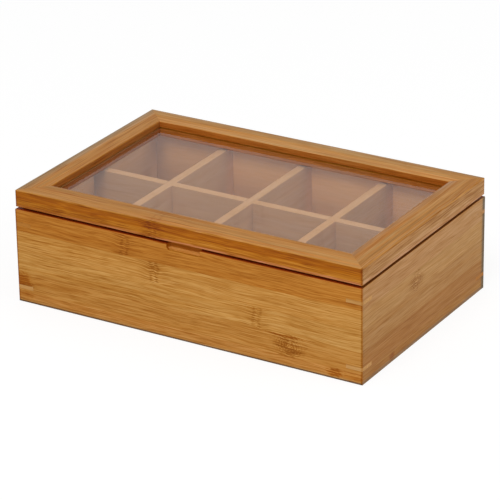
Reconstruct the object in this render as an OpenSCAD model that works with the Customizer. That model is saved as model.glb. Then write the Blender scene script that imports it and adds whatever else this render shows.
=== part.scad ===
// Tea bag organizer box: a mitred bamboo box with eight compartments under a
// hinged window lid. Millimetres, +X to the right, +Y to the back, +Z up.
// The origin is on the table, at the middle of the overall footprint, which
// counts the hinges that stand out behind the back panel.

/* [Box] */
// Width over the side panels
box_w = 310; // [220:5:420]
// Depth over the front and back panels
box_d = 200; // [150:5:280]
// Height of the outer faces of the base
base_h = 79; // [60:1:130]
// Thickness of the four base panels
wall_t = 10; // [9:0.5:14]
// Thickness of the inner lip that carries the lid
lip_t = 5; // [4:0.25:6]
// Height of the shadow gap that the lip leaves under the lid
gap_h = 2; // [1.9:0.1:3]
// Rounding of the outer edges of the base
base_r = 0.7; // [0.3:0.1:1.5]
// Rounding of the edges of the lip and of the dividers
lip_r = 0.5; // [0.2:0.1:0.8]

/* [Bottom panel] */
// Thickness of the bottom panel
floor_t = 4; // [3:0.5:6]
// Height of the bottom panel's underside above the table
floor_up = 4; // [3:0.5:8]
// Depth of the groove that holds the bottom panel
floor_groove = 4; // [2.5:0.5:5]

/* [Dividers] */
// Thickness of the dividers
divider_t = 7; // [4:0.25:9]
// Drop from the top of the lip to the tops of the dividers
divider_drop = 2; // [0:0.5:20]
// Depth of the housings that hold the ends of the dividers
housing_d = 2.5; // [1:0.25:3]

/* [Corner keys] */
// Thickness of the keys let in across the corners
key_t = 3; // [2:0.25:5]
// Length of a key along each face
key_leg = 14; // [8:0.5:16]
// Height of the lower keys' middle above the bottom panel
key_low = 5; // [4:0.5:15]
// Drop from the top of the outer faces to the upper keys' middle
key_high = 12; // [6:0.5:20]

/* [Finger notch] */
// Width of the notch at the top of the front panel
notch_w = 30; // [20:1:60]
// Height of the notch
notch_h = 5; // [4:0.5:9]
// Depth of the notch into the front panel
notch_d = 5; // [3.5:0.25:6]
// Radius of the cove along the bottom and ends of the notch
notch_r = 3; // [1:0.25:3.5]

/* [Lid] */
// Thickness of the lid's frame
lid_t = 14; // [11:0.5:20]
// Width of the rails and stiles of the frame
frame_w = 21; // [17:0.5:35]
// Step from the faces of the base in to the sides of the lid
lid_inset = 0.5; // [0:0.1:1.5]
// Rounding of the lid's outer edges
lid_r = 1; // [0.3:0.1:2]
// Rounding of the edges around the window
window_r = 0.6; // [0.2:0.1:1.5]
// Thickness of the clear window
window_t = 3; // [2:0.25:4]
// Height of the window's underside above the frame's underside
window_up = 6; // [3:0.25:8]
// Depth of the groove that holds the window
window_groove = 6; // [3:0.5:8]

/* [Stop hinges] */
// Width of a hinge
hinge_w = 32; // [24:2:44]
// Distance from a side of the box to the middle of the nearer hinge
hinge_in = 55; // [35:1:90]
// Thickness of the hinge leaves
leaf_t = 0.9; // [0.8:0.05:0.9]
// Reach of the leaves in from the back of the box
leaf_in = 7.5; // [6.5:0.25:8.5]
// Outer radius of the knuckles
knuckle_r = 2; // [1.7:0.1:2.4]
// Number of knuckles on each hinge
knuckles = 5; // [3:2:7]
// Radius of the hinge pin
pin_r = 1; // [0.7:0.05:1.1]
// Length of the stops behind the knuckles
stop_l = 3; // [2:0.25:5]
// Angle at which the stops hold the open lid
open_deg = 98; // [92:1:110]

/* [Hinge screws] */
// Radius of the screws
screw_r = 0.9; // [0.8:0.05:1.1]
// Radius of the countersunk heads
screw_head_r = 1.65; // [1.4:0.05:1.65]
// Length of the screws with their heads
screw_l = 8; // [5:0.5:10]
// Distance from the back of the box in to the row of screws
screw_in = 4.4; // [4:0.1:5]
// Spacing of the two screws of a leaf
screw_pitch = 20; // [14:1:24]

/* [Clearances] */
// Room at the faces of a glued joint
glue_gap = 0.1; // [0.05:0.01:0.2]
// Room for the bottom panel and the window to move in their grooves
panel_gap = 0.5; // [0.2:0.1:1]
// Room between pin and knuckle, measured on the radius
pin_gap = 0.05; // [0.02:0.01:0.1]
// Room between neighbouring knuckles
knuckle_gap = 0.3; // [0.1:0.05:0.5]
// Room between the knuckles and what they turn past
barrel_gap = 0.25; // [0.2:0.05:0.6]
// Play left between the stops of the open lid, in degrees
stop_play = 0.3; // [0.1:0.1:1]

/* [Hidden] */

$fn = 48;
beyond = 1;          // how far a cutting shape runs past the face that it cuts

// Sides of the box, as quarter turns from the front
FRONT = 0;
RIGHT = 1;
BACK = 2;
LEFT = 3;

// Heights
floor_top = floor_up + floor_t;
lip_top = base_h + gap_h;
divider_top = lip_top - divider_drop;
lap_z = (floor_top + divider_top) / 2;

// Plan sizes
inner_w = box_w - 2 * wall_t;
inner_d = box_d - 2 * wall_t;
lid_w = box_w - 2 * lid_inset;
lid_d = box_d - 2 * lid_inset;
cross_pitch = (inner_w + divider_t) / 4;

// Hinges: the axis lies level with the middle of the shadow gap
stop_start = knuckle_r + barrel_gap;
hinge_reach = stop_start + max(knuckle_r, (stop_start + stop_l) * cos(open_deg / 2));
hinge_x = box_w / 2 - hinge_in;
hinge_y = box_d / 2 + stop_start;
hinge_z = base_h + gap_h / 2;
knuckle_w = hinge_w / knuckles;

// The box stands forward of the origin by half of what the hinges add behind it
box_mid_y = -hinge_reach / 2;

bamboo = "#bf8840";
bamboo_pale = "#cf9f5c";
bamboo_dark = "#b07832";
brass = "#b8923e";

// ---- shared shapes ------------------------------------------------------

// Waste of a corner at the origin, between a square corner and a round of radius r
module corner_waste(r) {
    difference() {
        translate([-beyond, -beyond]) square(r + beyond);
        translate([r, r]) circle(r);
    }
}

// Rectangle from the origin, with a radius for each corner: near low, far low, far high, near high
module rounded_bar(w, h, radii) {
    difference() {
        square([w, h]);
        corner_waste(radii[0]);
        translate([w, 0]) mirror([1, 0]) corner_waste(radii[1]);
        translate([w, h]) rotate(180) corner_waste(radii[2]);
        translate([0, h]) mirror([0, 1]) corner_waste(radii[3]);
    }
}

// Plan of a mitred piece of the given length: its outer face lies on y = 0
module mitre_plan(length, width, r) {
    difference() {
        polygon([
            [-length / 2, 0], [length / 2, 0],
            [length / 2 - width, width], [-length / 2 + width, width]
        ]);
        for (end = [0, 1])
            mirror([end, 0]) translate([-length / 2, 0]) corner_waste(r);
    }
}

// A mitred piece: the 2D profile, drawn as (inward, up), runs along x
module mitred(length, width, height, r) {
    intersection() {
        rotate([90, 0, 90]) linear_extrude(length, center = true) children();
        linear_extrude(height) mitre_plan(length, width, r);
    }
}

// Places children on one side of a w by d box: y points inward from the outer face
module on_side(side, w, d) {
    translate([0, box_mid_y, 0]) rotate(side * 90)
        translate([0, -(side % 2 == 0 ? d : w) / 2, 0]) children();
}

// Places children at a corner of the base, with its two faces along +x and +y
module at_corner(right, back) {
    translate([right * box_w / 2, box_mid_y + back * box_d / 2, 0])
        mirror([right > 0 ? 1 : 0, 0, 0]) mirror([0, back > 0 ? 1 : 0, 0]) children();
}

// ---- base panels --------------------------------------------------------

// Section of a base panel: outer face, shadow rabbet, lip and groove for the bottom
module panel_section() {
    difference() {
        union() {
            rounded_bar(wall_t, base_h, [base_r, base_r, 0, base_r]);
            translate([wall_t - lip_t, floor_top])
                rounded_bar(lip_t, lip_top - floor_top, [0, 0, lip_r, lip_r]);
        }
        translate([wall_t - floor_groove, floor_up])
            square([floor_groove + beyond, floor_t + glue_gap]);
    }
}

// Housings for divider ends at the given places along a panel
module housings(places) {
    for (x = places)
        translate([x - divider_t / 2 - glue_gap, wall_t - housing_d, floor_top])
            cube([divider_t + 2 * glue_gap, housing_d + beyond, lip_top - floor_top + beyond]);
}

// A base panel without its key slots
module panel_blank(side, places) {
    on_side(side, box_w, box_d) difference() {
        mitred(side % 2 == 0 ? box_w : box_d, wall_t, lip_top, base_r) panel_section();
        housings(places);
    }
}

// Finger notch, open to the front and the top, with coved bottom and ends
module finger_notch() {
    half = notch_w / 2 - notch_r;
    low = base_h - notch_h;
    deep = notch_d - notch_r;
    top = notch_h - notch_r + gap_h + beyond;
    translate([0, 0, low + notch_r]) {
        // upper part, with upright rounds in its two far corners
        translate([-half, -beyond, 0]) cube([2 * half, notch_d + beyond, top]);
        translate([-notch_w / 2, -beyond, 0]) cube([notch_w, deep + beyond, top]);
        for (x = [-half, half]) translate([x, deep, 0]) cylinder(r = notch_r, h = top);
        // bottom, rounded up to the ends and to the back
        translate([-half, -beyond, -notch_r]) cube([2 * half, deep + beyond, notch_r + beyond]);
        translate([-half, deep, 0]) rotate([0, 90, 0]) cylinder(r = notch_r, h = 2 * half);
        for (x = [-half, half]) {
            translate([x, -beyond, 0]) rotate([-90, 0, 0])
                cylinder(r = notch_r, h = deep + beyond);
            translate([x, deep, 0]) sphere(notch_r);
        }
    }
}

cross_places = [-cross_pitch, 0, cross_pitch];

module front_panel() {
    color(bamboo) difference() {
        panel_blank(FRONT, cross_places);
        on_side(FRONT, box_w, box_d) finger_notch();
        key_slots();
    }
}

module back_panel() {
    color(bamboo) difference() {
        panel_blank(BACK, cross_places);
        key_slots();
        for (side = [-1, 1]) at_hinge(side) {
            hinge_mortise();
            leaf_screws() screw_body(0);
        }
    }
}

module left_panel() {
    color(bamboo) difference() {
        panel_blank(LEFT, [0]);
        key_slots();
    }
}

module right_panel() {
    color(bamboo) difference() {
        panel_blank(RIGHT, [0]);
        key_slots();
    }
}

module bottom_panel() {
    grown = 2 * (floor_groove - panel_gap);
    color(bamboo_pale) translate([0, box_mid_y, floor_up + floor_t / 2])
        cube([inner_w + grown, inner_d + grown, floor_t], center = true);
}

// ---- corner keys --------------------------------------------------------

function key_z(level) = level == 0 ? floor_top + key_low : base_h - key_high;

// A key is a thin triangle, trimmed flush with both faces and with the rounded corner
module corner_key(right, back, level) {
    color(bamboo_pale) at_corner(right, back)
        translate([0, 0, key_z(level) - key_t / 2]) linear_extrude(key_t) difference() {
            polygon([[0, 0], [key_leg, 0], [0, key_leg]]);
            corner_waste(base_r);
        }
}

// The saw cuts that take the keys
module key_slots() {
    leg = key_leg + glue_gap + beyond;
    for (right = [-1, 1], back = [-1, 1], level = [0, 1])
        at_corner(right, back)
            translate([0, 0, key_z(level) - key_t / 2 - glue_gap])
                linear_extrude(key_t + 2 * glue_gap)
                    polygon([[-beyond, -beyond], [leg, -beyond], [-beyond, leg]]);
}

// ---- dividers -----------------------------------------------------------

// A divider of the given length along x, standing on the bottom panel
module divider_board(length) {
    translate([0, 0, floor_top]) rotate([90, 0, 90]) linear_extrude(length, center = true)
        translate([-divider_t / 2, 0])
            rounded_bar(divider_t, divider_top - floor_top, [0, 0, lip_r, lip_r]);
}

// Half of a halved joint, from height z1 up to z2
module lap_slot(z1, z2) {
    slot = divider_t + 2 * glue_gap;
    translate([-slot / 2, -slot / 2, z1]) cube([slot, slot, z2 - z1]);
}

module long_divider() {
    color(bamboo_pale) translate([0, box_mid_y, 0]) difference() {
        divider_board(inner_w + 2 * (housing_d - glue_gap));
        for (x = cross_places)
            translate([x, 0, 0]) lap_slot(lap_z - glue_gap / 2, divider_top + beyond);
    }
}

// Cross dividers are numbered from the middle one: -1 left, 0 middle, 1 right
module cross_divider(place) {
    color(bamboo_pale) translate([place * cross_pitch, box_mid_y, 0]) difference() {
        rotate(90) divider_board(inner_d + 2 * (housing_d - glue_gap));
        lap_slot(floor_top - beyond, lap_z + glue_gap / 2);
    }
}

// ---- lid ----------------------------------------------------------------

// Section of the lid's frame, with the window groove in its inner face
module frame_section() {
    difference() {
        rounded_bar(frame_w, lid_t, [lid_r / 2, window_r, window_r, lid_r]);
        translate([frame_w - window_groove, window_up])
            square([window_groove + beyond, window_t + glue_gap]);
    }
}

module frame_piece(side) {
    on_side(side, lid_w, lid_d) translate([0, 0, lip_top])
        mitred(side % 2 == 0 ? lid_w : lid_d, frame_w, lid_t, lid_r) frame_section();
}

module lid_front_rail() { color(bamboo_dark) frame_piece(FRONT); }

module lid_left_stile() { color(bamboo) frame_piece(LEFT); }

module lid_right_stile() { color(bamboo) frame_piece(RIGHT); }

module lid_back_rail() {
    color(bamboo) difference() {
        frame_piece(BACK);
        for (side = [-1, 1]) at_hinge(side) mirror([0, 0, 1]) leaf_screws() screw_body(0);
    }
}

module lid_window() {
    grown = 2 * (window_groove - panel_gap - frame_w);
    color("#dcdcd8", 0.35) translate([0, box_mid_y, lip_top + window_up + window_t / 2])
        cube([lid_w + grown, lid_d + grown, window_t], center = true);
}

// ---- stop hinges --------------------------------------------------------

// Places children at a hinge, with the pin's axis as x and y pointing out of the back
module at_hinge(side) {
    translate([side * hinge_x, box_mid_y + hinge_y, hinge_z]) children();
}

// Recess through the lip for both leaves
module hinge_mortise() {
    room = 2 * glue_gap;
    translate([-hinge_w / 2 - room, -stop_start - leaf_in - room, -gap_h / 2])
        cube([hinge_w + 2 * room, leaf_in + room + beyond, gap_h + beyond]);
}

// Section of a leaf that lies under the axis, drawn as (outward, up): one bent piece of sheet
// that is plate, knuckle and stop
module leaf_section() {
    root = (pin_r + knuckle_r) / 2;
    circle(knuckle_r);
    translate([-stop_start - leaf_in, -gap_h / 2]) square([stop_start + leaf_in - root, leaf_t]);
    rotate(-(open_deg + stop_play) / 2) translate([root, -leaf_t])
        square([stop_start + stop_l - root, leaf_t]);
}

// A leaf with every second knuckle cut away, from the given one, to let the other leaf's turn
module hinge_leaf(first_cut) {
    difference() {
        rotate([90, 0, 90]) linear_extrude(hinge_w, center = true) leaf_section();
        for (i = [first_cut:2:knuckles - 1])
            translate([-hinge_w / 2 + (i + 0.5) * knuckle_w, 0, 0]) rotate([0, 90, 0])
                cylinder(r = stop_start, h = knuckle_w + knuckle_gap, center = true);
        rotate([0, 90, 0])
            cylinder(r = pin_r + pin_gap, h = hinge_w + 2 * beyond, center = true);
        leaf_screws() screw_body(glue_gap);
    }
}

module hinge_base_leaf(side) { color(brass) at_hinge(side) hinge_leaf(1); }

module hinge_lid_leaf(side) { color(brass) at_hinge(side) mirror([0, 0, 1]) hinge_leaf(0); }

module hinge_pin(side) {
    color(brass) at_hinge(side) rotate([0, 90, 0])
        cylinder(r = pin_r, h = hinge_w, center = true);
}

// ---- hinge screws -------------------------------------------------------

// Places children at the screws of the lower leaf, with z = 0 on the leaf's upper face
module leaf_screws() {
    for (x = [-screw_pitch / 2, screw_pitch / 2])
        translate([x, -stop_start - screw_in, -gap_h / 2 + leaf_t]) children();
}

// A countersunk screw turned from one profile, or with room added around it the hole that it
// passes through
module screw_body(room) {
    body_r = screw_r + room;
    top = room > 0 ? 0.01 : 0;
    rotate_extrude() polygon([
        [0, -screw_l],
        [screw_r / 8, -screw_l],
        [body_r, -screw_l + 1.5 * screw_r],
        [body_r, screw_r - screw_head_r],
        [screw_head_r + room, top],
        [0, top]
    ]);
}

// Cross recess in a screw's head
module screw_recess() {
    arm_w = 0.3 * screw_head_r;
    arm_l = 1.2 * screw_head_r;
    for (turn = [0, 90])
        rotate(turn) cube([arm_l, arm_w, arm_w * 2], center = true);
}

module screws() {
    leaf_screws() difference() {
        screw_body(0);
        screw_recess();
    }
}

module base_hinge_screws() {
    color(brass) for (side = [-1, 1]) at_hinge(side) screws();
}

module lid_hinge_screws() {
    color(brass) for (side = [-1, 1]) at_hinge(side) mirror([0, 0, 1]) screws();
}

// ---- nodes --------------------------------------------------------------

front_panel();
back_panel();
left_panel();
right_panel();
bottom_panel();
corner_key(-1, -1, 0);  // key_front_left_low
corner_key(-1, -1, 1);  // key_front_left_high
corner_key(1, -1, 0);  // key_front_right_low
corner_key(1, -1, 1);  // key_front_right_high
corner_key(-1, 1, 0);  // key_back_left_low
corner_key(-1, 1, 1);  // key_back_left_high
corner_key(1, 1, 0);  // key_back_right_low
corner_key(1, 1, 1);  // key_back_right_high
long_divider();
cross_divider(-1);  // cross_divider_left
cross_divider(0);  // cross_divider_middle
cross_divider(1);  // cross_divider_right
lid_front_rail();
lid_back_rail();
lid_left_stile();
lid_right_stile();
lid_window();
hinge_base_leaf(-1);  // hinge_left_base_leaf
hinge_base_leaf(1);  // hinge_right_base_leaf
hinge_lid_leaf(-1);  // hinge_left_lid_leaf
hinge_lid_leaf(1);  // hinge_right_lid_leaf
hinge_pin(-1);  // hinge_left_pin
hinge_pin(1);  // hinge_right_pin
base_hinge_screws();
lid_hinge_screws();
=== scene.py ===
"""Looks of the tea bag organizer box: bamboo boards, clear lid window, brass hinges, studio."""
import math

import bpy
from mathutils import Matrix, Vector


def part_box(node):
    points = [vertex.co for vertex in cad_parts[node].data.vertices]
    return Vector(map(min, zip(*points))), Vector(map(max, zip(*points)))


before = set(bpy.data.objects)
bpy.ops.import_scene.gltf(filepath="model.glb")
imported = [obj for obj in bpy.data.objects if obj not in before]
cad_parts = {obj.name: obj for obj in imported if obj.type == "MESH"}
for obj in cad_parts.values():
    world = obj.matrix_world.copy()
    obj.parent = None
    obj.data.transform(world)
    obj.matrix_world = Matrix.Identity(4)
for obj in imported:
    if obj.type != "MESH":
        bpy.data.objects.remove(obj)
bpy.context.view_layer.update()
bpy.ops.object.select_all(action="DESELECT")

MM = 0.001

# ---- sizes read from the frame -------------------------------------------------------

front_lo, front_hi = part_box("front_panel")
back_lo, back_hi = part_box("back_panel")
lid_lo, lid_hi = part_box("lid_front_rail")

box_middle_y = (front_lo[1] + back_hi[1]) / 2

# in mm, as the boards' tints take them
middle_y = box_middle_y / MM
inner_back = back_lo[1] / MM
base_top = front_hi[2] / MM - 2.0    # the outer faces end 2 mm below the lip's top
divider_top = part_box("long_divider")[1][2] / MM
lid_foot = lid_lo[2] / MM
lid_top = lid_hi[2] / MM - 0.7       # the plies end here; above lies the strips' own top face
window_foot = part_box("lid_window")[0][2] / MM


# ---- camera --------------------------------------------------------------------------

AZIMUTH = math.radians(31.153)       # the camera stands to the right of the front
ELEVATION = math.radians(23.911)
ROLL = math.radians(-0.876)
DISTANCE = 2.30545
AIM = Vector((0.00040, -0.00267, 0.03938))   # from the middle of the box's footprint
LENS = 210.65        # focal length and width of the sensor, mm
SENSOR = 36.0


def aim_camera():
    """Stands the camera to the right of the front and above the lid, with a long lens."""
    back = Vector((math.sin(AZIMUTH) * math.cos(ELEVATION),
                   -math.cos(AZIMUTH) * math.cos(ELEVATION),
                   math.sin(ELEVATION)))
    level = (-back).cross(Vector((0, 0, 1))).normalized()
    upright = level.cross(-back)
    right = level * math.cos(ROLL) + upright * math.sin(ROLL)
    up = upright * math.cos(ROLL) - level * math.sin(ROLL)
    place = Vector((0, box_middle_y, 0)) + AIM + back * DISTANCE
    turn = Matrix((right, up, back)).transposed().to_4x4()
    lens = bpy.data.cameras.new("studio_camera")
    lens.lens = LENS
    lens.sensor_width = SENSOR
    lens.clip_end = 20
    camera = bpy.data.objects.new("studio_camera", lens)
    camera.matrix_world = Matrix.Translation(place) @ turn
    bpy.context.collection.objects.link(camera)
    bpy.context.scene.camera = camera


aim_camera()


# ---- colours and nodes ---------------------------------------------------------------

def linear(hex_colour):
    """An sRGB hex colour as the linear RGBA that sockets take."""
    channels = [int(hex_colour[i:i + 2], 16) / 255 for i in (1, 3, 5)]
    return [c / 12.92 if c <= 0.04045 else ((c + 0.055) / 1.055) ** 2.4 for c in channels] + [1.0]


def add(tree, kind, *inputs, **settings):
    """Adds a node. Its inputs come in the order that it shows them, or as one dict by name.

    An input is a value, a socket, or a node, which stands for the first output that it shows.
    """
    node = tree.nodes.new("ShaderNode" + kind)
    for name, value in settings.items():
        setattr(node, name, value)
    if inputs and isinstance(inputs[0], dict):
        pairs = [(node.inputs[name], value) for name, value in inputs[0].items()]
    else:
        pairs = zip([socket for socket in node.inputs if socket.enabled], inputs)
    for socket, value in pairs:
        if isinstance(value, bpy.types.Node):
            value = next(output for output in value.outputs if output.enabled)
        if isinstance(value, bpy.types.NodeSocket):
            tree.links.new(value, socket)
        else:
            socket.default_value = value
    return node


def new_material(name):
    """An empty material and its node tree."""
    material = bpy.data.materials.new(name)
    material.use_nodes = True
    tree = material.node_tree
    tree.nodes.clear()
    return material, tree


def dress(material, *nodes):
    """Gives a material to CAD nodes through their material slots."""
    for name in nodes:
        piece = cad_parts[name]
        piece.data.materials.clear()
        piece.data.materials.append(material)


# ---- bamboo --------------------------------------------------------------------------

HALF_BASE = (155.0, 100.0)    # half the length and depth of the base, mm
HALF_LID = (154.5, 99.5)      # and of the lid
RAMP_MM = 400.0      # length that a ramp from 0 to 1 stands for along a board
FIBRE_MM = 0.6       # width of a fibre streak; real fibres of 0.3 mm would not show
FIBRE_RUN_MM = 26
BUNDLE_MM = 2.2      # width of the light and dark bundles of fibres
BUNDLE_RUN_MM = 60
CLOUD_MM = 7.0       # width of the broad changes of tone
CLOUD_RUN_MM = 150
PORE_MM = 0.7        # short dark dashes of the vascular bundles, real ones 0.4 mm
PORE_RUN_MM = 11
HUE_MM = 5.5         # width of the streaks that are a little redder or greener
HUE_RUN_MM = 110
KNUCKLE_HALF_MM = 3.6
RUNG_MM = 1.85       # from one dash of a knuckle to the next
DASH_MM = 1.0        # height and length of the noise that breaks the dashes up
DASH_RUN_MM = 2.6
OUTER_MM = 0.6       # depth within which a place counts as lying on an outer face
CORNER_MM = 17.0     # reach of the painted light that pales the inner faces before the back panel
SCAR_ARC_MM = 2.3    # from one ring of a branch's scar to the next
INNER_LOSS = 0.8     # share of the grain that inner faces lose
HUE_LOSS = 0.8       # share of the redder and greener streaks that a bold outer face loses
STAIN_DARK = 0.42    # how much darker the middle of a stain is
STAIN_RED = 1.4      # and how much redder
DARKEST = 0.42       # lightness that no fibre falls below

# how strongly each colour follows the lightness: dark fibres are redder, as the sugar in them has
# browned further
RED_SWING = 0.75
GREEN_SWING = 1.20
BLUE_SWING = 2.30

MIDDLE = (0.3, 0.7)  # most values of a noise lie between these
SMOOTH = {"interpolation_type": "SMOOTHSTEP"}


def share(mm):
    """Where a ramp that stands for RAMP_MM, centred on 0, holds this place."""
    return min(max(mm / RAMP_MM + 0.5, 0.0), 1.0)


class Board:
    """One bamboo material, and the places on its board that the colours go by, in mm.

    u runs along the grain, v across the strips and w the third way. depth is the distance in from
    the nearest outer face.
    """

    def __init__(self, name, strips, along, across, half, stretch, seed):
        """Finds the places and lays the grain."""
        self.material, self.tree = new_material(name)
        self.strips = strips
        self.stretch = stretch
        self.seed = seed
        tree = self.tree
        axes = add(tree, "SeparateXYZ", add(tree, "TexCoord").outputs["Object"]).outputs
        self.x, self.y, self.z = [
            add(tree, "Math", axis, 1 / MM, operation="MULTIPLY") for axis in axes]
        places = {"X": self.x, "Y": self.y, "Z": self.z}
        self.u = places.pop(along)
        self.v = places.pop(across)
        self.w = places.popitem()[1]
        self.v_share = add(tree, "Math", self.v, 1 / RAMP_MM, 0.5, operation="MULTIPLY_ADD")

        self.aside = add(tree, "Math", self.x, operation="ABSOLUTE")
        self.from_end = add(tree, "Math", half[0], self.aside, operation="SUBTRACT")
        off_middle = add(tree, "Math", self.y, middle_y, operation="SUBTRACT")
        off_middle = add(tree, "Math", off_middle, operation="ABSOLUTE")
        self.from_face = add(tree, "Math", half[1], off_middle, operation="SUBTRACT")
        self.from_back = add(tree, "Math", half[1] + middle_y, self.y, operation="SUBTRACT")
        self.depth = add(tree, "Math", self.from_end, self.from_face, operation="MINIMUM")
        self.outer = add(tree, "Math", self.depth, OUTER_MM, operation="LESS_THAN")

        self.find_knuckles()
        self.lay_streaks()
        self.lay_rungs()

    def by_strip(self, colours):
        """One flat colour for each strip, across the board."""
        ramp = add(self.tree, "ValToRGB", self.v_share)
        ramp.color_ramp.interpolation = "CONSTANT"
        points = ramp.color_ramp.elements
        while len(points) < len(colours):
            points.new(1.0)
        for point, strip, colour in zip(points, self.strips, colours):
            point.position = share(strip[0])
            point.color = colour
        return ramp

    def all_of(self, first, *others):
        """Where all of these places, each marked from 0 to 1, lie over each other."""
        for other in others:
            first = add(self.tree, "Math", first, other, operation="MULTIPLY")
        return first

    def total(self, first, *others):
        """The sum of the ways in which the wood gets lighter or darker."""
        for other in others:
            first = add(self.tree, "Math", first, other, operation="ADD")
        return first

    def distance(self, first, second):
        """The length of a line whose two legs are given."""
        squares = [add(self.tree, "Math", leg, 2.0, operation="POWER") for leg in (first, second)]
        return add(self.tree, "Math", self.total(*squares), operation="SQRT")

    # -- grain

    def find_knuckles(self):
        """Marks each strip's knuckle, and the halo that it throws along the grain."""
        tree = self.tree

        # red holds the knuckle's place, green its strength and blue tells the strips' grain apart
        facts = self.by_strip([
            (share(knuckle_at), strength, (0.37 * i + self.seed) % 1.0, 1.0)
            for i, (_, _, knuckle_at, strength) in enumerate(self.strips)])
        place, power, self.strip_number = add(tree, "SeparateColor", facts).outputs[:3]

        # distance from the knuckle, whose ridge is a little bent
        bend = add(tree, "TexNoise", {
            "Vector": add(tree, "CombineXYZ", self.v, self.w), "Scale": 0.16, "Detail": 1.0})
        bent_u = add(tree, "Math", bend, 5.0, self.u, operation="MULTIPLY_ADD")
        ridge_u = add(tree, "Math", place, RAMP_MM, 2.5 - RAMP_MM / 2, operation="MULTIPLY_ADD")
        self.past_ridge = add(tree, "Math", bent_u, ridge_u, operation="SUBTRACT")
        away = add(tree, "Math", self.past_ridge, operation="ABSOLUTE")
        self.reach = add(tree, "Math", away, KNUCKLE_HALF_MM, operation="DIVIDE")

        near = add(tree, "MapRange", self.reach, 0.8, 1.6, 1.0, 0.0, **SMOOTH)
        self.knuckle = add(tree, "Math", near, power, operation="MULTIPLY")
        around = add(tree, "MapRange", self.reach, 0.8, 4.0, 1.0, 0.0, **SMOOTH)
        self.halo = add(tree, "Math", around, power, operation="MULTIPLY")

    def lay_streaks(self):
        """Lays fibres, bundles, tones and pores, which waver beside a knuckle and wander elsewhere."""
        tree = self.tree
        swirl_u = add(tree, "Math", self.u, 0.14, operation="MULTIPLY")
        swirl_v = add(tree, "Math", self.v, 0.30, operation="MULTIPLY")
        self.swirl = add(tree, "TexNoise", {
            "Vector": add(tree, "CombineXYZ", swirl_u, swirl_v, self.w), "Scale": 1.0, "Detail": 1.0})
        waver = add(tree, "Math", self.swirl, self.halo, operation="MULTIPLY")
        waver = add(tree, "Math", waver, 2.0, operation="MULTIPLY")

        wander_u = add(tree, "Math", self.u, 0.016, operation="MULTIPLY")
        wander_v = add(tree, "Math", self.v, 0.03, operation="MULTIPLY")
        wander = add(tree, "TexNoise", {
            "Vector": add(tree, "CombineXYZ", wander_u, self.strip_number, wander_v),
            "Scale": 1.0, "Detail": 1.0})
        wandered = add(tree, "Math", wander, 5.0, self.v, operation="MULTIPLY_ADD")
        v_run = add(tree, "Math", waver, wandered, operation="ADD")

        more = self.stretch
        self.fibre = self.streaks(v_run, FIBRE_MM, FIBRE_RUN_MM * more, 1.0, 3.1)
        self.bundle = self.streaks(v_run, BUNDLE_MM, BUNDLE_RUN_MM * more, 1.0, 7.3)
        self.cloud = self.streaks(v_run, CLOUD_MM, CLOUD_RUN_MM * more, 1.0, 11.7)
        self.pore = self.streaks(v_run, PORE_MM, PORE_RUN_MM * more, 0.0, 23.9)
        self.hue = self.streaks(v_run, HUE_MM, HUE_RUN_MM * more, 1.0, 31.3, thick=0.15)

    def streaks(self, v, width, run, detail, offset, thick=1.0):
        """Noise drawn out along the grain, different in every strip."""
        tree = self.tree
        place = add(tree, "CombineXYZ",
                    add(tree, "Math", self.u, 1 / run, operation="MULTIPLY"),
                    add(tree, "Math", v, 1 / width, operation="MULTIPLY"),
                    add(tree, "Math", self.w, thick / width, operation="MULTIPLY"))
        own = add(tree, "Math", self.strip_number, 40.0, offset + self.seed, operation="MULTIPLY_ADD")
        return add(tree, "TexNoise", {
            "Vector": place, "W": own, "Scale": 1.0, "Detail": detail, "Roughness": 0.5},
            noise_dimensions="4D")

    def lay_rungs(self):
        """Lays the rungs of a knuckle: even dashes, a little broken up."""
        tree = self.tree
        self.broken = self.streaks(self.v, DASH_MM, DASH_RUN_MM, 1.0, 0.0)
        slant = add(tree, "Math", self.v, self.w, operation="ADD")
        turn = add(tree, "Math", slant, 2 * math.pi / RUNG_MM, operation="MULTIPLY")
        side = add(tree, "Math", self.past_ridge, operation="SIGN")
        swirled = add(tree, "Math", self.swirl, 9.0, operation="MULTIPLY")
        shift = add(tree, "Math", side, 1.0, swirled, operation="MULTIPLY_ADD")
        phase = add(tree, "Math", turn, shift, operation="ADD")
        rung = add(tree, "Math", phase, operation="SINE")
        rung = add(tree, "Math", rung, 0.18, operation="MULTIPLY")
        breaks = add(tree, "Math", self.broken, 0.8, 0.1, operation="MULTIPLY_ADD")
        self.dash = add(tree, "Math", rung, breaks, operation="ADD")

    def ladder(self):
        """A knuckle's dashes: dark at its two sides and paler between them."""
        tree = self.tree
        from_side = add(tree, "Math", self.reach, 0.75, operation="SUBTRACT")
        from_side = add(tree, "Math", from_side, operation="ABSOLUTE")
        sides = add(tree, "MapRange", from_side, 0.1, 0.6, 1.0, 0.45, **SMOOTH)
        between = add(tree, "Math", 1.2, sides, operation="SUBTRACT")
        dark = add(tree, "MapRange", self.dash, 0.40, 0.58, -0.50, 0.0)
        pale = add(tree, "MapRange", self.dash, 0.48, 0.66, 0.0, 0.22)
        dashes = self.total(add(tree, "Math", dark, sides, operation="MULTIPLY"),
                            add(tree, "Math", pale, between, operation="MULTIPLY"))
        return add(tree, "Math", self.knuckle, dashes, operation="MULTIPLY")

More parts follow.
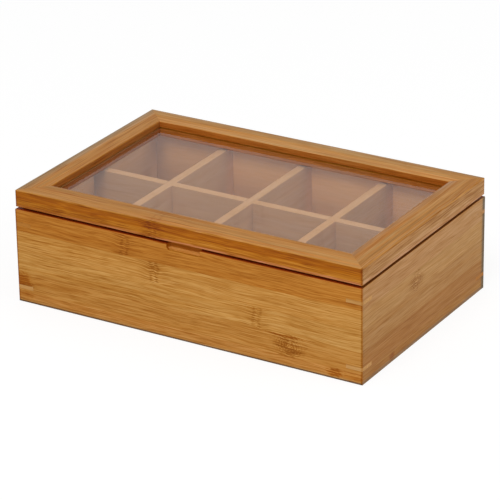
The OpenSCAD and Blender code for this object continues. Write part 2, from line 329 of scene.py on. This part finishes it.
    def grain(self, fibres, bands):
        """How much lighter or darker the streaks and knuckles make the wood."""
        tree = self.tree
        fine = add(tree, "MapRange", self.fibre, *MIDDLE, -0.27 * fibres, 0.25 * fibres)
        bolder = add(tree, "Math", self.halo, 0.6, 1.0, operation="MULTIPLY_ADD")
        return self.total(
            add(tree, "Math", fine, bolder, operation="MULTIPLY"),
            add(tree, "MapRange", self.bundle, *MIDDLE, -0.06 * bands, 0.06 * bands),
            add(tree, "MapRange", self.cloud, *MIDDLE, -0.04 * bands, 0.04 * bands),
            add(tree, "MapRange", self.pore, 0.54, 0.70, 0.0, -0.20 * fibres),
            self.ladder(),
            add(tree, "Math", self.halo, -0.13, operation="MULTIPLY"))

    # -- flat colours

    def tint_faces(self, plies, inside, painted_corner_light, cove, back_line, painted_step_shade):
        """The flat colour of every face, and a mark for the inner faces."""
        tree = self.tree
        strip_tint = self.by_strip([linear(strip[1]) for strip in self.strips])
        tint = strip_tint
        for start, colour in plies:
            ply = add(tree, "Math", self.w, start, operation="GREATER_THAN")
            ply_tint = linear(colour) if colour else strip_tint
            tint = add(tree, "Mix", ply, tint, ply_tint, data_type="RGBA")
        inner = None
        if inside:
            start, end, low, high, z_low, z_high = inside
            inner = self.all_of(add(tree, "Math", self.depth, start, operation="GREATER_THAN"),
                                add(tree, "Math", self.z, end, operation="LESS_THAN"))
            height = add(tree, "MapRange", self.z, z_low, z_high, 0.0, 1.0)
            lining = add(tree, "Mix", height, linear(low), linear(high), data_type="RGBA")
            tint = add(tree, "Mix", inner, tint, lining, data_type="RGBA")
        # painted light: inner faces paler near the back panel, where the lid's back rail shades them
        if painted_corner_light:
            near_back = self.all_of(
                add(tree, "MapRange", self.y, inner_back - CORNER_MM, inner_back - 2.0, 0.0, 1.0,
                    **SMOOTH),
                add(tree, "Math", self.z, divider_top - 0.3, operation="LESS_THAN"))
            if inside:
                near_back = self.all_of(near_back, inner)
            tint = add(tree, "Mix", near_back, tint, linear(painted_corner_light), data_type="RGBA")
        if cove:
            tint = self.tint_cove(tint, *cove)
        # a darker, greyer band on the outer faces within a few mm of the back corner
        if back_line:
            near_back = add(tree, "MapRange", self.from_back, 2.5, 7.0, 1.0, 0.0, **SMOOTH)
            wear_and_back_band = self.all_of(near_back, self.outer)
            tint = add(tree, "Mix", wear_and_back_band, tint, linear(back_line), data_type="RGBA")
        # painted shade on the step under the lid's lip, which darkens the gap
        if painted_step_shade:
            foot, step, colour = painted_step_shade
            in_shaded_step = self.all_of(add(tree, "Math", self.z, foot, operation="GREATER_THAN"),
                                  add(tree, "Math", self.depth, step, operation="LESS_THAN"))
            tint = add(tree, "Mix", in_shaded_step, tint, linear(colour), data_type="RGBA")
        return tint, inner

    def tint_cove(self, tint, foot, lit_top, deep, half_floor, lit, shade, rim):
        """Paints light and shade in the finger notch: a lit floor, shaded wall and ends, a shaded foot
        line.
        """
        tree = self.tree
        in_cove = self.all_of(add(tree, "Math", self.z, foot, operation="GREATER_THAN"),
                              add(tree, "Math", self.depth, 0.15, operation="GREATER_THAN"),
                              add(tree, "Math", self.depth, deep, operation="LESS_THAN"))
        ends = self.all_of(add(tree, "Math", self.aside, half_floor, operation="GREATER_THAN"),
                           add(tree, "Math", self.depth, 1.8, operation="LESS_THAN"))
        wall = add(tree, "Math", self.z, lit_top, operation="GREATER_THAN")
        shaded = add(tree, "Math", wall, ends, operation="MAXIMUM")
        # painted shade: a darker line at the notch's foot, by the front face
        in_foot_shade = self.all_of(add(tree, "Math", self.depth, 2.0, operation="LESS_THAN"),
                             add(tree, "Math", self.z, foot + 0.8, operation="LESS_THAN"))
        floor_tint = add(tree, "Mix", in_foot_shade, linear(lit), linear(rim), data_type="RGBA")
        lining = add(tree, "Mix", shaded, floor_tint, linear(shade), data_type="RGBA")
        return add(tree, "Mix", in_cove, tint, lining, data_type="RGBA")

    # -- marks

    def stain(self, at_u, at_v, half_u, half_v, strength):
        """Where one reddish mark of irregular outline lies, from 0 to its strength."""
        tree = self.tree
        off_u = add(tree, "Math", self.u, 1 / half_u, -at_u / half_u, operation="MULTIPLY_ADD")
        off_v = add(tree, "Math", self.v, 1 / half_v, -at_v / half_v, operation="MULTIPLY_ADD")
        ragged = add(tree, "Math", self.broken, 1.6, -0.8, operation="MULTIPLY_ADD")
        away = add(tree, "Math", self.distance(off_u, off_v), ragged, operation="ADD")
        spot = add(tree, "MapRange", away, 0.3, 1.25, 1.0, 0.0, **SMOOTH)
        streaky = add(tree, "MapRange", self.fibre, 0.40, 0.62, 1.25 * strength, 0.6 * strength)
        return add(tree, "Math", spot, streaky, operation="MULTIPLY")

    def scar(self, at_u, at_v, size, strength):
        """The ring that a branch left: broken arcs, a dark eye, and a darker patch round it."""
        tree = self.tree
        off_u = add(tree, "Math", self.u, at_u, operation="SUBTRACT")
        off_v = add(tree, "Math", self.v, at_v, operation="SUBTRACT")
        off_u = add(tree, "Math", off_u, 1 / size, operation="MULTIPLY")
        off_v = add(tree, "Math", off_v, 1 / size, operation="MULTIPLY")

        ring = self.distance(off_u, add(tree, "Math", off_v, 1.25, operation="MULTIPLY"))
        shaken = add(tree, "Math", self.broken, 14.0, -9.4, operation="MULTIPLY_ADD")
        phase = add(tree, "Math", ring, 2 * math.pi / SCAR_ARC_MM, shaken, operation="MULTIPLY_ADD")
        arcs = add(tree, "Math", phase, operation="COSINE")
        arcs = add(tree, "Math", arcs, 0.22, operation="MULTIPLY")
        fading = add(tree, "MapRange", ring, 7.0, 14.0, 1.0, 0.0)

        patch_u = add(tree, "Math", off_u, 1 / 17, operation="MULTIPLY")
        patch_v = add(tree, "Math", off_v, 1 / 9.5, operation="MULTIPLY")
        ragged = add(tree, "Math", self.broken, 1.0, -0.5, operation="MULTIPLY_ADD")
        away = add(tree, "Math", self.distance(patch_u, patch_v), ragged, operation="ADD")
        patch = add(tree, "MapRange", away, 0.5, 1.1, 1.0, 0.0, **SMOOTH)
        streaky = add(tree, "MapRange", self.fibre, 0.36, 0.62, -0.34, -0.10)

        marks = (add(tree, "Math", arcs, fading, operation="MULTIPLY"),
                 add(tree, "MapRange", ring, 1.8, 3.0, 0.28, 0.0),
                 add(tree, "Math", patch, streaky, operation="MULTIPLY"))
        return [add(tree, "Math", mark, strength, operation="MULTIPLY") for mark in marks]

    def notch_foot_highlight(self, foot, half_floor):
        """A painted highlight: the paler line on the outer face just below the finger notch."""
        tree = self.tree
        from_line = add(tree, "Math", self.z, foot - 0.85, operation="SUBTRACT")
        from_line = add(tree, "Math", from_line, operation="ABSOLUTE")
        return self.all_of(add(tree, "MapRange", from_line, 0.4, 0.9, 0.14, 0.0, **SMOOTH),
                           add(tree, "Math", self.aside, half_floor, operation="LESS_THAN"),
                           self.outer)

    # -- the finished wood

    def varnish(self, tint, factor, red, blue_swing, rough, shine):
        """Joins colour, relief and gloss in the shader."""
        tree = self.tree
        channels = []
        for swing, redness in ((RED_SWING, 0.03), (GREEN_SWING, -0.08), (blue_swing, -0.36)):
            light = add(tree, "Math", factor, swing, operation="POWER")
            ruddy = add(tree, "Math", red, redness, 1.0, operation="MULTIPLY_ADD")
            channels.append(add(tree, "Math", light, ruddy, operation="MULTIPLY"))
        shades = add(tree, "CombineColor", *channels)
        toned = add(tree, "Mix", 1.0, tint, shades, data_type="RGBA", blend_type="MULTIPLY")

        ridges = add(tree, "Math", self.knuckle, self.dash, operation="MULTIPLY")
        pits = add(tree, "MapRange", self.pore, 0.56, 0.70, 0.0, -0.6)
        relief = self.total(ridges, pits)
        relief = self.total(self.fibre, relief)
        bump = add(tree, "Bump", {"Strength": 0.12, "Distance": 0.0003, "Height": relief})
        gloss = add(tree, "MapRange", self.fibre, *MIDDLE, rough + 0.06, rough - 0.06)
        shader = add(tree, "BsdfPrincipled", {
            "Base Color": toned, "Roughness": gloss, "Normal": bump,
            "IOR": 1.5, "Specular IOR Level": shine})
        add(tree, "OutputMaterial", shader)
        return self.material


def bamboo(name, strips, along="X", across="Z", plies=(), inside=None, painted_step_shade=None, half=HALF_BASE,
           cove=None, stains=(), scar=None, glue_line=0.45, lit_edge=None, edge_grain=0.0,
           edge_blue=0.0, fibres=1.0, bands=1.0, stretch=1.0, back_line=None, painted_corner_light=None,
           drift=0.0, warmth=0.25, rough=0.46, shine=0.1, seed=0.0):
    """Carbonised flat-pressed bamboo: strips side by side, with streaks and knuckles.

    strips: (start across the board in mm, colour, knuckle's place along the board in mm, strength).
    plies: (start in mm, colour) of the layers along the axis that is left, in place of the strips';
    no colour brings the strips' own back.
    inside: (depth in mm, height that it ends at, colours low and high, heights in mm that they meet
    between) of the faces that look inwards.
    rebate: (height, depth in mm, colour) of the painted shade on the step that the lid's lip closes
    over.
    cove: (heights of its foot and of its lit part in mm, depth in mm, half the width of its flat
    floor, colours of the painted lit part, shaded wall and shade line at its foot) of the finger
    notch.
    half: half the length and depth in mm of the frame whose corners show a glue line.
    stains: (along mm, across mm, half length, half width, strength) of single reddish marks.
    scar: (along mm, across mm, size, strength) of the ring that a branch left.
    lit_edge: (height in mm, gain) of the painted highlight along a softened upper edge.
    edge_grain: how much bolder the grain is on the outer faces than on the rest.
    edge_blue: how much yellower its dark fibres are there.
    stretch: how much longer than usual the streaks run.
    back_line: colour of the darker, greyer band on the outer faces along the back corner.
    painted_corner_light: colour of the painted light on the inner faces over their last 17 mm before
    the back panel.
    glue_line: how dark the line of glue at the mitres is.
    fibres, bands: strength of the fine and of the broad streaks.
    warmth: how much redder or greener than the rest some streaks are.
    drift: how much lighter the board gets from its middle to one end, as painted light.
    rough, shine: roughness and specular level of the face.
    seed: a number from 0 to 1 that sets one board's noise apart from another's.
    """
    board = Board(name, strips, along, across, half, stretch, seed)
    tree = board.tree
    tint, inner = board.tint_faces(plies, inside, painted_corner_light, cove, back_line, painted_step_shade)

    # where the grain is bolder than on the rest of the board, or fainter
    shown = 1.0
    hue_share = 1.0
    blue_swing = BLUE_SWING
    if edge_grain:
        shown = add(tree, "Math", board.outer, edge_grain, 1.0, operation="MULTIPLY_ADD")
        hue_share = add(tree, "Math", board.outer, -HUE_LOSS, 1.0, operation="MULTIPLY_ADD")
        blue_swing = add(tree, "Math", board.outer, edge_blue, BLUE_SWING, operation="MULTIPLY_ADD")
    elif inside:
        lost = add(tree, "Math", inner, INNER_LOSS, operation="MULTIPLY")
        shown = add(tree, "Math", 1.0, lost, operation="SUBTRACT")

    # lightness as a factor around 1
    parts = [add(tree, "Math", board.grain(fibres, bands), shown, operation="MULTIPLY")]
    red = add(tree, "MapRange", board.hue, *MIDDLE, -warmth, warmth)
    red = add(tree, "Math", red, hue_share, operation="MULTIPLY")
    for stain in stains:
        mark = board.stain(*stain)
        parts.append(add(tree, "Math", mark, -STAIN_DARK, operation="MULTIPLY"))
        red = add(tree, "Math", mark, STAIN_RED, red, operation="MULTIPLY_ADD")
    if scar:
        parts.extend(board.scar(*scar))
    if cove:
        parts.append(board.notch_foot_highlight(cove[0], cove[3]))
    corner = add(tree, "Math", board.from_end, board.from_face, operation="MAXIMUM")
    parts.append(add(tree, "MapRange", corner, 0.7, 1.9, -glue_line, 0.0, **SMOOTH))
    # painted highlight along the upper edge
    if lit_edge:
        height, gain = lit_edge
        below = add(tree, "Math", height, board.z, operation="SUBTRACT")
        parts.append(add(tree, "MapRange", below, 0.2, 1.4, gain, 0.0, **SMOOTH))
    # painted light: the board lighter towards one end and darker towards the other
    if drift:
        parts.append(add(tree, "Math", board.u, drift / HALF_BASE[0], operation="MULTIPLY"))
    factor = add(tree, "Math", board.total(1.0, *parts), DARKEST, operation="MAXIMUM")
    return board.varnish(tint, factor, red, blue_swing, rough, shine)


# tints of the strips, from the pale inner wall of the cane to the browner outer wall
HONEY = "#bc8440"
AMBER = "#b0722e"
STRAW = "#c18c45"
PALE = "#c9a06e"
RIM = "#c1a483"      # the sawn tops of the dividers
INNER = "#d29f62"    # the inner faces, which no oil has darkened, low down; near the rim, paler by painted light
INNER_TOP_PAINTED_LIGHT = "#fdc980"
PAINTED_GAP_SHADE = "#8c320c"    # painted shade on the step under the lid, as dark as the gap between lid and base


def base_inside(low, high):
    """The inner faces of a base panel, made paler towards the rim by painted light."""
    return 9.4, 200.0, low, high, 42, 74


def lid_inside(above, below):
    """The faces round the opening of the lid's frame, above the window and below it."""
    return 20.6, lid_top + 0.4, below, above, window_foot + 0.9, window_foot + 1.1


def painted_shade_under_lid(colour):
    """The step of a base panel that the lid closes over, and the colour of its painted shade."""
    return base_top - 0.05, 5.2, colour


BASE = {"half": HALF_BASE, "inside": base_inside(INNER, INNER_TOP_PAINTED_LIGHT),
        "painted_step_shade": painted_shade_under_lid(PAINTED_GAP_SHADE), "lit_edge": (base_top, 0.04)}
LID = {"half": HALF_LID, "fibres": 0.85, "bands": 1.7,
       "warmth": 1.3, "edge_grain": 0.5, "stretch": 1.5}
BARE = {"fibres": 0.25, "bands": 0.5, "glue_line": 0.0, "rough": 0.5}    # unlacquered boards

front_board = bamboo("bamboo_front_board", [
    # the lowest strip, below 0.9 mm, is a painted contact shadow along the bottom edge
    (-200, "#74573b", 131, 0.2), (0.9, "#bd8746", 131, 0.2), (2.5, "#c1853f", 131, 0.2),
    (8, "#be853e", 92, 0.6), (25.6, "#c38d46", 64, 0.7),
    (43.1, "#c48c44", -27, 0.9), (60.6, "#b9772b", -53.5, 0.8), (77.5, "#b8732e", 150, 0.0)],
    stains=[(-151, 19.3, 9, 6.8, 1.0), (-149, 6, 8, 4.5, 0.35), (131, 5.2, 7.5, 3.4, 1.0),
            (147, 5, 14, 4.0, 0.5), (148, 64.8, 7.5, 0.7, 0.5), (88, 25.6, 14, 1.3, 0.7),
            (62, 42.6, 13, 0.9, 0.5), (82, 61.2, 48, 0.6, 0.3)],
    scar=(92, 18, 1.0, 1.0), seed=0.10, shine=0.06, drift=0.05,
    # the finger notch: painted light on its floor, painted shade on its wall, ends and foot
    cove=(base_top - 5.1, base_top - 3.4, 5.2, 13.2, "#d9964c", "#a35a10", "#bb7a20"), **BASE)
back_board = bamboo("bamboo_back_board", [
    (-200, HONEY, 60, 0.6), (12, AMBER, -80, 0.9), (30, STRAW, 20, 0.6),
    (47.5, HONEY, 118, 0.7), (65, AMBER, -30, 0.5)],
    scar=(-82, 22, 1.0, 1.0), seed=0.43, shine=0.06, drift=0.10, **BASE)
right_board = bamboo("bamboo_right_board", [
    (-200, "#926d45", 150, 0.0), (2.4, "#a8722e", 150, 0.0), (8, "#a66f2f", 150, 0.0),
    (25.6, "#af7d41", 150, 0.0), (43.1, "#b7874c", -19, 0.3), (60.6, "#b98751", 150, 0.0)],
    along="Y", seed=0.71, fibres=0.7, bands=0.9, scar=(-17, 52, 0.85, 0.8), drift=0.06,
    stains=[(-57, 4.8, 5, 4, 1.0), (-12, 25, 44, 0.8, 0.3), (92, 13.6, 7, 1.0, 0.6)],
    # a browner painted shade on this board's step under the lid
    glue_line=0.15, back_line="#6b573b", shine=0.12, **{**BASE, "painted_step_shade": painted_shade_under_lid("#7c4414")})
left_board = bamboo("bamboo_left_board", [
    (-200, AMBER, 30, 0.8), (15, STRAW, -40, 0.8), (32.5, HONEY, 70, 0.5),
    (50, AMBER, 10, 0.7), (67.5, HONEY, -70, 0.4)],
    along="Y", seed=0.29, shine=0.2, painted_corner_light="#ecc07c",
    **{**BASE, "inside": base_inside("#c79457", "#eab974")})
dress(front_board, "front_panel")
dress(back_board, "back_panel")
dress(right_board, "right_panel")
dress(left_board, "left_panel")

# bands of the lid's edge from its foot up; the first, pinkish band is a painted highlight along the
# lower edge
FRONT_PLIES = [
    (lid_foot + 0.2, "#bb733d"), (lid_foot + 1.6, "#b46f28"), (lid_foot + 2.4, "#b67019"),
    (lid_foot + 5.2, "#bc761c"), (lid_foot + 6.5, "#b1680c"), (lid_foot + 7.2, "#a45900"),
    (lid_foot + 8.3, "#a75d07"), (lid_foot + 10.8, "#a15702"), (lid_foot + 12.0, "#9b5400"),
    (lid_top, None)]
# the same for the stiles; the first, paler band is a painted highlight along the lower edge
SIDE_PLIES = [
    (lid_foot + 0.2, "#c28d5e"), (lid_foot + 1.6, "#be8a59"), (lid_foot + 2.7, "#b6844f"),
    (lid_foot + 5, "#b7864f"), (lid_foot + 7, "#ae7b44"), (lid_foot + 9, "#b38047"),
    (lid_foot + 12.0, "#b17b3f"), (lid_top, None)]
lid_front = bamboo("bamboo_lid_front_rail", [
    (-200, "#bb7f39", -28, 0.5), (-98, "#b67c36", -28, 0.5), (-94.8, "#b27a37", -28, 0.45),
    (-88, "#ac7533", -28, 0.2), (-83.5, "#a77540", 60, 0)],
    across="Y", plies=FRONT_PLIES, inside=lid_inside("#ae6727", "#b97d46"),
    seed=0.05, drift=0.08, edge_blue=1.3, **LID)
lid_back = bamboo("bamboo_lid_back_rail", [
    (-200, "#c48945", 60, 0), (81.3, "#bd8541", 60, 0), (83, "#ba843f", 90, 0.3),
    (87.5, "#b57f3d", 90, 0.3), (89.5, "#af7d41", -60, 0), (92.5, "#ac8252", -60, 0),
    (94.6, "#a07e58", -60, 0)],
    across="Y", plies=FRONT_PLIES, inside=lid_inside("#ba6c26", "#c18245"),
    seed=0.55, edge_blue=1.3, **LID)
lid_right = bamboo("bamboo_lid_right_stile", [
    (-200, "#a5784e", 40, 0), (136, "#ad7a46", 40, 0), (138.2, "#ac7535", 40, 0.3),
    (141, "#b27a38", 40, 0.3), (145, "#b07836", 90, 0), (146.5, "#a76e2a", 90, 0),
    (149, "#ac7532", -30, 0), (151.5, "#b07838", -30, 0), (153.8, "#a8712f", -30, 0)],
    along="Y", across="X", plies=SIDE_PLIES, inside=lid_inside("#ae6727", "#b97d46"),
    seed=0.83, drift=0.06, **LID)
lid_left = bamboo("bamboo_lid_left_stile", [
    (-200, "#98764c", -43, 0.3), (-151.8, "#a47a4b", -43, 0.3), (-149.7, "#b3814a", -43, 0.45),
    (-147.5, "#b37c3d", 20, 0.2), (-145.5, "#af7530", 20, 0.2), (-141, "#b47c38", 70, 0.2),
    (-138.5, "#b27630", 70, 0), (-135, "#a26311", 70, 0)],
    along="Y", across="X", plies=SIDE_PLIES, inside=lid_inside("#a76124", "#a66939"),
    seed=0.37, **LID)
dress(lid_front, "lid_front_rail")
dress(lid_back, "lid_back_rail")
dress(lid_right, "lid_right_stile")
dress(lid_left, "lid_left_stile")

long_divider_wood = bamboo("bamboo_divider_long", [
    (-200, PALE, 40, 0.5), (24, "#c69b67", -60, 0.5), (44, "#cca370", 100, 0.4),
    (62, PALE, 10, 0.3), (divider_top - 0.3, RIM, 150, 0.0)],
    seed=0.62, **BARE)
cross_divider_wood = bamboo("bamboo_divider_cross", [
    (-200, "#c79d6a", 40, 0.5), (28, PALE, -60, 0.5), (48, "#cca370", 20, 0.4),
    (66, "#c89e6c", -30, 0.3), (divider_top - 0.3, RIM, 150, 0.0)],
    along="Y", seed=0.22, painted_corner_light="#e3b375", **BARE)
bottom_wood = bamboo("bamboo_bottom_board", [
    (-200, PALE, 40, 0.6), (-60, "#c69b67", -60, 0.6), (-25, "#cca370", 100, 0.5),
    (20, PALE, 10, 0.4), (55, "#c79d6a", -90, 0.5)],
    across="Y", seed=0.91, **BARE)
dress(long_divider_wood, "long_divider")
dress(cross_divider_wood, "cross_divider_left", "cross_divider_middle", "cross_divider_right")
dress(bottom_wood, "bottom_panel")

key_wood = bamboo("bamboo_corner_key", [(-200, "#c69354", 200, 0.0)],
                  seed=0.5, fibres=0.4, glue_line=0.2)
dull_key_wood = bamboo("bamboo_dull_corner_key", [(-200, "#b4752c", 200, 0.0)], seed=0.9, fibres=0.4)
grey_key_wood = bamboo("bamboo_side_corner_key", [(-200, "#b88650", 200, 0.0)], seed=0.7, fibres=0.4)
keys = {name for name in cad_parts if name.startswith("key_")}
dull_keys = {"key_front_left_high", "key_back_right_low"}
grey_keys = {"key_back_right_high"}
dress(key_wood, *sorted(keys - dull_keys - grey_keys))
dress(dull_key_wood, *sorted(dull_keys))
dress(grey_key_wood, *sorted(grey_keys))


# ---- clear acrylic -------------------------------------------------------------------

HAZE_PER_METRE = 14.0      # slight changes of polish, about 70 mm across


def acrylic():
    """Cast acrylic sheet: clear, with a smooth mirror-like face; lamps shine through it."""
    material, tree = new_material("clear_acrylic_sheet")
    coords = add(tree, "TexCoord").outputs["Object"]
    haze = add(tree, "TexNoise", {"Vector": coords, "Scale": HAZE_PER_METRE, "Detail": 2.0})
    polish = add(tree, "MapRange", haze, *MIDDLE, 0.010, 0.035)
    glass = add(tree, "BsdfPrincipled", {
        "Base Color": linear("#fbf6f4"), "Roughness": polish, "IOR": 1.2, "Transmission Weight": 1.0})
    clear = add(tree, "BsdfTransparent", linear("#fbf6f4"))
    path = add(tree, "LightPath").outputs
    by_lamps = add(tree, "Math", path["Is Shadow Ray"], path["Is Diffuse Ray"], operation="MAXIMUM")
    add(tree, "OutputMaterial", add(tree, "MixShader", by_lamps, glass, clear))
    return material


dress(acrylic(), "lid_window")


# ---- brass ---------------------------------------------------------------------------

MARKS_PER_METRE = (60, 1500, 1500)     # rolling marks 17 mm long and 0.7 mm wide, real ones finer
PATCHES_PER_METRE = 180.0              # dull patches, about 6 mm across
DULL_BRASS = "#8f6f36"


def brass(name, colour, rough):
    """Stamped, brass-plated steel: fine rolling marks and slightly duller patches."""
    material, tree = new_material(name)
    coords = add(tree, "TexCoord").outputs["Object"]
    rolled = add(tree, "Mapping", {"Vector": coords, "Scale": MARKS_PER_METRE})
    marks = add(tree, "TexNoise", {"Vector": rolled, "Scale": 1.0, "Detail": 3.0})
    patches = add(tree, "TexNoise", {"Vector": coords, "Scale": PATCHES_PER_METRE, "Detail": 3.0})
    wear_and_back_band = add(tree, "MapRange", patches, 0.35, 0.7, rough - 0.06, rough + 0.12)
    tint = add(tree, "Mix", patches, linear(colour), linear(DULL_BRASS), data_type="RGBA")
    bump = add(tree, "Bump", {"Strength": 0.15, "Distance": 0.0001, "Height": marks})
    shader = add(tree, "BsdfPrincipled", {
        "Base Color": tint, "Metallic": 1.0, "Roughness": wear_and_back_band, "Normal": bump})
    add(tree, "OutputMaterial", shader)
    return material


dress(brass("brass_plated_hinge", "#c9a45a", 0.3),
      *[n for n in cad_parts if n.startswith("hinge_") and n.endswith("leaf")])
dress(brass("brass_plated_pin", "#d0ac62", 0.22), "hinge_left_pin", "hinge_right_pin")
dress(brass("brass_plated_screw", "#c29d52", 0.28), "base_hinge_screws", "lid_hinge_screws")


# ---- studio --------------------------------------------------------------------------

LAMP_AIM = (0, 0, 0.04)


def seen_directly(tree):
    """1 for rays that come from the eye, from a shiny surface or through a clear one."""
    path = add(tree, "LightPath").outputs
    direct = add(tree, "Math", path["Is Camera Ray"], path["Is Glossy Ray"], operation="MAXIMUM")
    return add(tree, "Math", direct, path["Is Transmission Ray"], operation="MAXIMUM")


def studio_world():
    """A white surround that is seen brighter than it lights."""
    world = bpy.data.worlds.new("white_studio")
    bpy.context.scene.world = world
    world.use_nodes = True
    tree = world.node_tree
    tree.nodes.clear()
    lit = add(tree, "Background", linear("#ffffff"), 0.55)
    seen = add(tree, "Background", linear("#ffffff"), 1.0)
    add(tree, "OutputWorld", add(tree, "MixShader", seen_directly(tree), lit, seen))


def studio_floor():
    """White paper under the box. To the eye it mostly glows, so that the shadow stays faint."""
    bpy.ops.mesh.primitive_plane_add(size=8, location=(0, 0, 0))
    floor = bpy.context.object
    floor.name = "studio_floor"
    material, tree = new_material("white_paper_floor")
    paper = add(tree, "BsdfDiffuse", linear("#f4f4f4"))
    glow = add(tree, "Emission", linear("#ffffff"), 1.06)
    glowing = add(tree, "Math", seen_directly(tree), 0.8, operation="MULTIPLY")
    add(tree, "OutputMaterial", add(tree, "MixShader", glowing, paper, glow))
    floor.data.materials.append(material)


def softbox(name, place, size, watts):
    """A rectangular soft lamp that faces the box."""
    lamp = bpy.data.lights.new(name, "AREA")
    lamp.shape = "RECTANGLE"
    lamp.size, lamp.size_y = size
    lamp.energy = watts
    box = bpy.data.objects.new(name, lamp)
    box.location = place
    box.rotation_euler = (Vector(LAMP_AIM) - Vector(place)).to_track_quat("-Z", "Y").to_euler()
    bpy.context.collection.objects.link(box)


studio_world()
studio_floor()
softbox("softbox_front", (0.25, -1.45, 2.05), (1.2, 1.2), 23)
softbox("softbox_right", (1.75, 0.15, 1.45), (0.9, 0.7), 7.5)

bpy.context.scene.view_settings.view_transform = "Standard"
